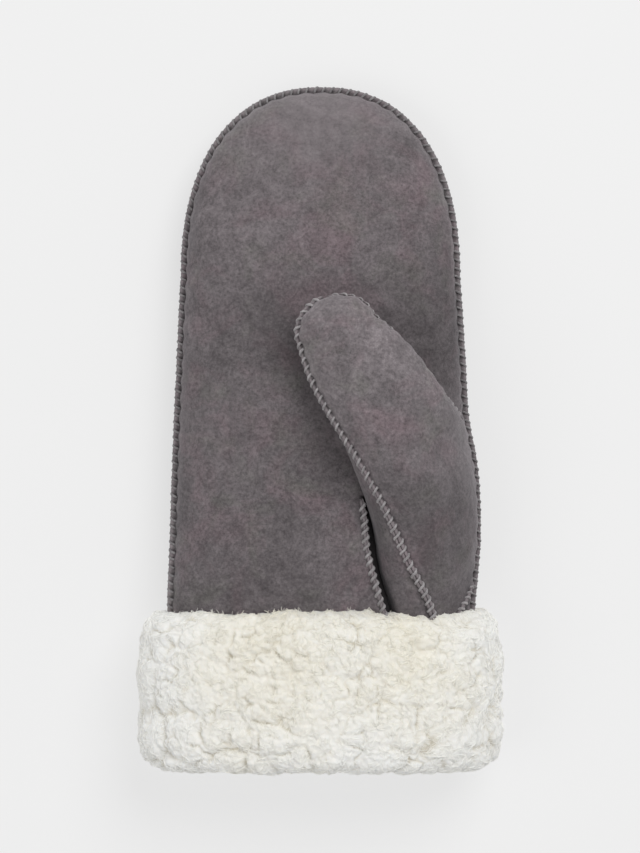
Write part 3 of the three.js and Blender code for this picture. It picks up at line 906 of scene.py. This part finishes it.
# The thumb
def make_thumb_panel(name, node, from_angle, to_angle, seed):
    """One hide of the thumb, from one of its seams round to the other."""
    along = along_thumb(THUMB_FROM, THUMB_TO, 110, 26)[:, None]
    across = np.linspace(0, 1, 46)[None]
    start, stop = from_angle(along), to_angle(along)
    clear = THUMB_SEAM_CLEARANCE / np.cos(np.clip(along - 1, 0, None) * math.pi / 2)
    points = thumb_points(along, start + clear + (stop - start - 2 * clear) * across)
    to_edges = [np.linalg.norm(points - edge, axis=-1) for edge in (points[:, :1], points[:, -1:])]
    reach_in = np.minimum(*to_edges)
    swell = hide_swell(points, run_along(points[:, 0]), reach_in, THUMB_SWELLS, THUMB_CALM, seed)
    points = points + grid_normals(points) * swell[..., None]
    points[..., 0] += OVERHANG * over_side_seam(points)
    above = points[..., 2] - palm_height(points[..., 0], points[..., 1])
    # Painted shade where the thumb meets the palm and, by THUMB_SHADE, towards the cuff; the seams are
    # darkened by grime and painted shade and worn pale just inside them
    tones = edge_tones(reach_in, 0.3, 1.0, 3.0, 1.5) - 0.3 * bell(np.clip(above, 0, None), 1.5)
    tones = tones - THUMB_SHADE * fade_down(points, 145, 50)
    make_hide(name, node, points, tones, above >= -BURIED_THUMB, THUMB_SUEDE)


def thumb_seam_line(seam_angle, along):
    """A seam of the thumb, with the directions out of its surface and across it."""
    angle = seam_angle(along)
    path = thumb_points(along, angle)
    beside = thumb_points(along, angle + 0.03) - thumb_points(along, angle - 0.03)
    tangent = unit(np.gradient(path, axis=0))
    out = unit(np.cross(tangent, unit(beside)))
    return path, out, unit(np.cross(out, tangent))


def make_palm_seam():
    """The palm's own sewn edge beside the thumb, standing clear of the thumb's side."""
    up = np.array([0, 0, 1.0])
    aside = unit(np.cross(up, unit(np.gradient(CREASE, axis=0))))
    path = CREASE + aside * crease_gap(CREASE[:, 1:2])
    path[:, 2] = palm_height(path[:, 0], path[:, 1]) + CREASE_LIFT
    out = unit(up - CREASE_LEAN * aside)
    shown = path[:, 1] < CREASE_TOP
    make_seam("palm_seam", (path[shown], out[shown], aside[shown]))


def make_thumb():
    make_thumb_panel("thumb_top", "thumb_outer_panel", far_seam, near_seam, 57)
    make_thumb_panel("thumb_under", "thumb_inner_panel", near_seam, round_to_far_seam, 67)
    for name, seam_angle, along in (
        ("thumb_seam", near_seam, along_thumb(SEAM_FROM, SEAM_TO, 150, 40)),
        ("thumb_far_seam", far_seam, along_thumb(FAR_SEAM_FROM, SEAM_TO, 90, 40)),
        ("thumb_foot_seam", foot_seam, np.linspace(*FOOT_SEAM_ALONG, 40)),
    ):
        make_seam(name, thumb_seam_line(seam_angle, along))
    make_palm_seam()


# The wool
def ring_points(out, y, angle):
    """Points round the wrist. out is 1 on the fleece's outside, 0 on the hand and -1 inside the lining."""
    section = hand_section(y)
    thick_side = out * np.where(out > 0, CUFF_PILE_SIDE, LINING_INNER)
    thick_flat = out * np.where(out > 0, CUFF_PILE_FLAT, LINING_INNER)
    across = section.right - section.middle + thick_side
    up = np.where(np.sin(angle) > 0, section.rise, section.drop) + thick_flat
    x = section.middle + signed_power(np.cos(angle), 2 / SIDE_ROUND) * across
    z = section.seam + signed_power(np.sin(angle), 2 / CROWN_ROUND) * up
    return np.stack([x, np.broadcast_to(y, x.shape), z], -1)


def even_angles(count):
    """Angles at which points lie evenly round the cuff, and the way round it in millimetres."""
    fine = np.linspace(0, 2 * math.pi, 4001)
    run = run_along(ring_points(np.array(1.0), np.array(CUFF_HEIGHT / 2), fine))
    places = np.linspace(0, run[-1], count, endpoint=False)
    return np.interp(places, run, fine), run[-1]


def clump(around, up, size, girth, seed):
    """How far off the nearest clump and the crack round it are, in sizes, and its middle and number."""
    columns = round(girth / size)
    width = girth / columns
    rng = np.random.default_rng(seed)
    shift = rng.uniform(-0.5, 0.5, (CLUMP_ROWS, columns, 2))
    base_row = np.round(up / size).astype(int)
    base_column = np.round(around / width).astype(int)
    first = np.full(around.shape, np.inf)
    second = np.full(around.shape, np.inf)
    place = np.zeros(around.shape + (2,))
    number = np.zeros(around.shape, int)
    for row_step, column_step in product(range(-2, 3), repeat=2):
        row = base_row + row_step
        column = base_column + column_step
        moved = shift[(row + CLUMP_SHIFTED_ROWS) % CLUMP_ROWS, column % columns]
        centre_around = (column + 0.5 * (row % 2) + moved[..., 0]) * width
        centre_up = (row + moved[..., 1]) * size
        distance = np.hypot(around - centre_around, up - centre_up) / size
        nearer = distance < first
        second = np.where(nearer, first, np.minimum(second, distance))
        first = np.where(nearer, distance, first)
        place[nearer] = np.stack([centre_around, centre_up], -1)[nearer]
        number = np.where(nearer, row * columns + column % columns, number)
    return first, second - first, place, number


def clumpy(around, up, strayed, size, girth, seed, crack_width=1.0):
    """How deep the wool is pressed between clumps, and the thin cracks that part them."""
    distance, crack = clump(around + strayed[0], up + strayed[1], size, girth, seed)[:2]
    pressed = 0.6 * np.clip(1.3 * distance, 0, 1) ** 2 + 0.4 * bell(crack, 0.22)
    return pressed, bell(crack * size, crack_width)


@dataclass
class WoolSurface:
    """Rows of wool round the wrist, from the share first of the whole length on to its end.

    onward_y is the way along y in which fibres run past that end.
    """

    points: np.ndarray
    normals: np.ndarray
    tones: np.ndarray
    girth: float
    length: float
    first: float
    onward_y: int

    def sample(self, around, up, field):
        """A field of the grid at any place on it."""
        column = (around / self.girth % 1) * field.shape[1]
        row = (up / self.length - self.first) / (1 - self.first) * (field.shape[0] - 1)
        row = np.clip(row, 0, field.shape[0] - 1.001)
        i, j = np.floor(row).astype(int), np.floor(column).astype(int) % field.shape[1]
        a, b = row - i, column - np.floor(column)
        if field.ndim == 3:
            a, b = a[..., None], b[..., None]
        k = (j + 1) % field.shape[1]
        upper = field[i, j] * (1 - b) + field[i, k] * b
        lower = field[i + 1, j] * (1 - b) + field[i + 1, k] * b
        return upper * (1 - a) + lower * a


def cuff_surface(around_count, row_count):
    """The cuff's wool, in rows from inside the mouth, round the fold and up to the upper edge."""
    angles, girth = even_angles(around_count)
    along = np.linspace(CUFF_FIRST, 1, row_count)[:, None]
    share = PROFILE.read(along)
    y = np.clip(share.up, 0, None) * CUFF_HEIGHT
    smooth = ring_points(share.out, y, angles[None])
    spine_y = np.clip(y, FOLD_DEPTH, CUFF_HEIGHT - FOLD_DEPTH)
    spine = ring_points(np.zeros(y.shape), spine_y, angles[None])
    places = np.linspace(0, girth, around_count, endpoint=False)
    around, up = np.broadcast_arrays(places, along * CUFF_WAY)
    lock = np.clip(share.lock, 0, 1)
    strayed = np.stack([swells(smooth, STRAY_SWELLS, seed) for seed in (104, 112)])
    locks, lock_cracks = clumpy(around, up, strayed, LOCK_SIZE, girth, 101, LOCK_CRACK)
    tufts, tuft_cracks = clumpy(around, up, 0.5 * strayed, TUFT_SIZE, girth, TUFT_SEED, TUFT_CRACK)
    curls = clumpy(around, up, 0.3 * strayed, CURL_SIZE, girth, 103)[0]
    locks *= np.clip(0.6 + 0.4 * waves(smooth, 45, 105), 0.2, 1)
    tufts *= np.clip(0.5 + 0.5 * waves(smooth, 30, 106), 0.1, 1)
    cracks = lock_cracks * np.clip(0.2 + 0.9 * waves(smooth, 10, 110), 0, 1)
    cracks = np.maximum(cracks, tuft_cracks * np.clip(waves(smooth, 9, 111) - 0.1, 0, 1))
    pressed = LOCK_RELIEF * locks + TUFT_RELIEF * tufts + CURL_RELIEF * curls + CRACK_RELIEF * cracks
    points = smooth + unit(spine - smooth) * (lock * pressed)[..., None]
    near_upper_edge = np.clip((along - 0.8) / 0.16, 0, 1)
    points[..., 1] += (swells(smooth, RAGGED_SWELLS, 107) - 0.4) * near_upper_edge
    points[..., 2] = np.maximum(points[..., 2], 0.3 * CURL_RELIEF * curls)
    normals = unit(grid_normals(smooth, wrap=True) + 0.7 * grid_normals(points, wrap=True))
    # Darker where the wool is pressed deep and in its cracks: creamier roots, and painted shadow
    depths = 0.35 * locks + 0.35 * tufts + 0.22 * curls + 0.7 * cracks
    tones = 1 - np.clip(depths * (0.4 + 0.6 * lock), 0, 1)
    return angles, WoolSurface(points, normals, tones, girth, CUFF_WAY, CUFF_FIRST, 1)


def mouth_surface(around_count, row_count):
    """The lining's wool in the mouth, in rows from deep inside out to the cuff."""
    angles, girth = even_angles(around_count)
    y = np.linspace(MOUTH_DEPTH, FOLD_DEPTH, row_count)[:, None]
    points = ring_points(np.full(y.shape, -1.0), y, angles[None])
    normals = grid_normals(points, wrap=True)
    # Painted shade: the wool is darker deeper in the mouth
    tones = np.broadcast_to(0.35 + 0.5 * (MOUTH_DEPTH - y) / MOUTH_DEPTH, points.shape[:2])
    return WoolSurface(points, normals, tones, girth, MOUTH_DEPTH - FOLD_DEPTH, 0.0, -1)


def make_cuff(angles, surface):
    """The cuff as a closed ring, with plain rows down its inside and across its foot."""
    inside = [(CUFF_INSIDE, up) for up in (0.97, 0.75, 0.5, 0.25, CUFF_FOOT)]
    foot = [(out, CUFF_FOOT) for out in (-0.5, -0.96)]
    rows = [ring_points(np.array(out), np.array(up * CUFF_HEIGHT), angles) for out, up in inside + foot]
    points = np.concatenate([surface.points, np.stack(rows)])
    tones = np.concatenate([surface.tones, np.full((len(rows), len(angles)), 0.3)])
    faces = grid_faces(*points.shape[:2], wrap_rows=True, wrap_columns=True)
    make_piece("cuff_wool", points, faces, WOOL, "fleece", ("fleece_cuff",), tones)


def make_fibres(name, surface, around, up, height, radius, shades):
    """Tapering fibres, from the places of their points on the wool and their heights over it."""
    base = surface.sample(around, up, surface.points)
    normal = unit(surface.sample(around, up, surface.normals))
    paths = base + normal * height[..., None]
    past_edge = np.clip(up - surface.length, 0, None)
    paths[..., 1] += surface.onward_y * 1.5 * np.tanh(past_edge / 1.5)
    paths[..., 2] = np.maximum(paths[..., 2], radius.max())
    # Fibres take the tone of the wool under them, painted shadow in the cracks included
    tones = surface.sample(around, up, surface.tones) * 0.65 + shades
    points, faces = tubes(paths, radius, 3)
    tones = np.repeat(np.clip(tones, 0, 1)[..., None], 3, -1)
    make_piece(name, points, faces, FIBRES, "fleece", tones=tones, smooth=False)


def scatter(surface, count, heights, tuft_size, tuft_seed, seed):
    """Random places on the wool, with each one's tuft, and the source of more random numbers."""
    rng = np.random.default_rng(seed)
    around = rng.uniform(0, surface.girth, count)
    up = rng.uniform(*heights, count) * surface.length
    place, number = clump(around, up, tuft_size, surface.girth, tuft_seed)[2:]

    def draw(low, high):
        return rng.uniform(low, high, (count, 1))

    return around, up, place, number % CLUMP_DRAWS, rng, draw


def make_lying_fibres(name, surface, count, seed, lowest=0.08, lift=1.0):
    """Fibres that lie on the wool, drawn to the middle of their tuft and curling on their way."""
    places = scatter(surface, count, (lowest, 0.965), TUFT_SIZE, TUFT_SEED, seed)
    around, up, place, tuft, rng, draw = places
    swirl = np.random.default_rng(seed + 1).uniform(-1.3, 1.3, CLUMP_DRAWS)[tuft]
    steps = np.linspace(0, 1, 5)[None]
    length = draw(2.6, 5.6)
    heading = np.arctan2(place[:, 1] - up, place[:, 0] - around) + swirl + rng.normal(0, 0.5, count)
    bend = rng.normal(0, 0.24, (count, 1)) + 0.12 * np.sign(swirl)[:, None]
    turned = heading[:, None] + bend * length * steps
    stride = length / (steps.shape[1] - 1)
    s = around[:, None] + np.cumsum(np.cos(turned), axis=1) * stride
    t = up[:, None] + np.cumsum(np.sin(turned), axis=1) * stride
    top = lift * draw(0.2, 0.7)
    height = top * np.sin(math.pi * (0.08 + 0.72 * steps)) - 0.2
    radius = draw(0.11, 0.19) * (0.35 + 0.65 * np.sin(math.pi * steps) ** 0.7)
    make_fibres(name, surface, s, t, height, radius, draw(0.25, 0.5) + 0.1 * steps)


def make_standing_fibres(name, surface, count, lowest, length, rise, seed):
    """Short fibres that stand up from the wool and blur its outline."""
    places = scatter(surface, count, (lowest, 0.995), 0.5 * TUFT_SIZE, 109, seed)
    around, up, _, tuft, rng, draw = places
    lean = np.random.default_rng(seed + 1).uniform(-1.6, 1.6, (CLUMP_DRAWS, 2))[tuft]
    lean = lean + rng.normal(0, 0.6, (count, 2)) + (0, rise)
    steps = np.linspace(0, 1, 4)[None]
    phase = draw(0, 2 * math.pi)
    turns = draw(2.5, 6.5)
    curl = draw(0.3, 0.8) * steps
    s = around[:, None] + lean[:, :1] * steps + curl * np.cos(turns * steps + phase)
    t = up[:, None] + lean[:, 1:] * steps + curl * np.sin(turns * steps + phase)
    height = length * draw(0.5, 1.1) * (steps - 0.35 * steps**2.5) - 0.4
    radius = draw(0.13, 0.2) * (1 - 0.75 * steps**1.6)
    make_fibres(name, surface, s, t, height, radius, draw(0.15, 0.4) + 0.1 * steps)


def make_wool():
    angles, cuff = cuff_surface(470, 150)
    make_cuff(angles, cuff)
    for label, seed in (("a", 201), ("b", 211), ("c", 221)):
        make_lying_fibres("cuff_fibres_" + label, cuff, 4300, seed)
    make_standing_fibres("cuff_fuzz", cuff, 1700, lowest=0.1, length=1.8, rise=0.0, seed=231)
    make_standing_fibres("edge_fuzz", cuff, 1500, lowest=0.94, length=1.15, rise=0.6, seed=241)
    make_lying_fibres("mouth_fibres", mouth_surface(200, 40), 2600, 251, lowest=0.0, lift=1.7)


def make_lining():
    """The wool inside the hand: a closed wall, clumpy on its inner side."""
    start = FOLD_DEPTH + PIECE_GAP
    outline = hand_outline(start, LINING_INNER, 70, 34)
    level = even_levels(22)
    top = hand_points(outline, level, 1, LINING_INNER)
    bottom = hand_points(outline, level[:-1], -1, LINING_INNER)[:, ::-1]
    points = np.concatenate([top, bottom], axis=1)
    lumps = swells(points, LINING_SWELLS, 131)
    from_mouth = np.clip((points[..., 1] - start) / PILE, 0, 1)
    points = points + grid_normals(points) * (LINING_LUMPS * lumps * from_mouth)[..., None]
    tones = np.clip(0.62 - 0.2 * lumps, 0, 1)
    faces = grid_faces(*points.shape[:2])[:, ::-1]
    lining = make_piece("lining", points, faces, WOOL, "fleece", ("fleece_lining",), tones, merge=0.01)
    thicken(lining, LINING_WALL)


# The floor, the lights and the camera, in metres
FLOOR_REACH = 3.0
FLOOR_LOOK = {
    "Base Color": (0.26, 0.26, 0.26, 1),
    "Emission Color": (1, 1, 1, 1),
    "Emission Strength": 0.6,
    "Roughness": 0.8,
    "Specular IOR Level": 0.15,
}
SKY_LIGHT = 0.5
KEY_LIGHT = ("key", (0.5, 0.75, 1.25), 1.0, 12)
FILL_LIGHT = ("fill", (-0.8, -0.3, 1.2), 1.0, 4)
CAMERA_HEIGHT = 1.19
LENS = 85
SENSOR_HEIGHT = 24


def make_floor():
    mesh = bpy.data.meshes.new("floor")
    corners = [(x * FLOOR_REACH, y * FLOOR_REACH, 0) for x, y in ((-1, -1), (1, -1), (1, 1), (-1, 1))]
    mesh.from_pydata(corners, [], [(0, 1, 2, 3)])
    material = bpy.data.materials.new("floor")
    material.use_nodes = True
    for key, value in FLOOR_LOOK.items():
        material.node_tree.nodes["Principled BSDF"].inputs[key].default_value = value
    mesh.materials.append(material)
    floor = add_object("floor", mesh)


def add_light(name, place, size, watts):
    """A round lamp that points at the middle of the frame."""
    data = bpy.data.lights.new(name, "AREA")
    data.shape = "DISK"
    data.size = size
    data.energy = watts
    light = add_object(name, data)
    light.location = place
    light.rotation_euler = (-Vector(place)).to_track_quat("-Z", "Y").to_euler()


def light_scene():
    world = bpy.data.worlds.new("studio")
    world.use_nodes = True
    background = world.node_tree.nodes["Background"]
    background.inputs["Color"].default_value = (1, 1, 1, 1)
    background.inputs["Strength"].default_value = SKY_LIGHT
    scene.world = world
    add_light(*KEY_LIGHT)
    add_light(*FILL_LIGHT)
    scene.view_settings.view_transform = "Standard"


def add_camera():
    """The camera looks straight down on the middle of the frame."""
    data = bpy.data.cameras.new("camera")
    data.sensor_fit = "VERTICAL"
    data.sensor_height = SENSOR_HEIGHT
    data.lens = LENS
    data.clip_start = 0.01
    camera = add_object("camera", data)
    camera.location = (0, 0, CAMERA_HEIGHT)
    scene.camera = camera


make_hand()
make_thumb()
make_wool()
make_lining()
make_floor()
light_scene()
add_camera()
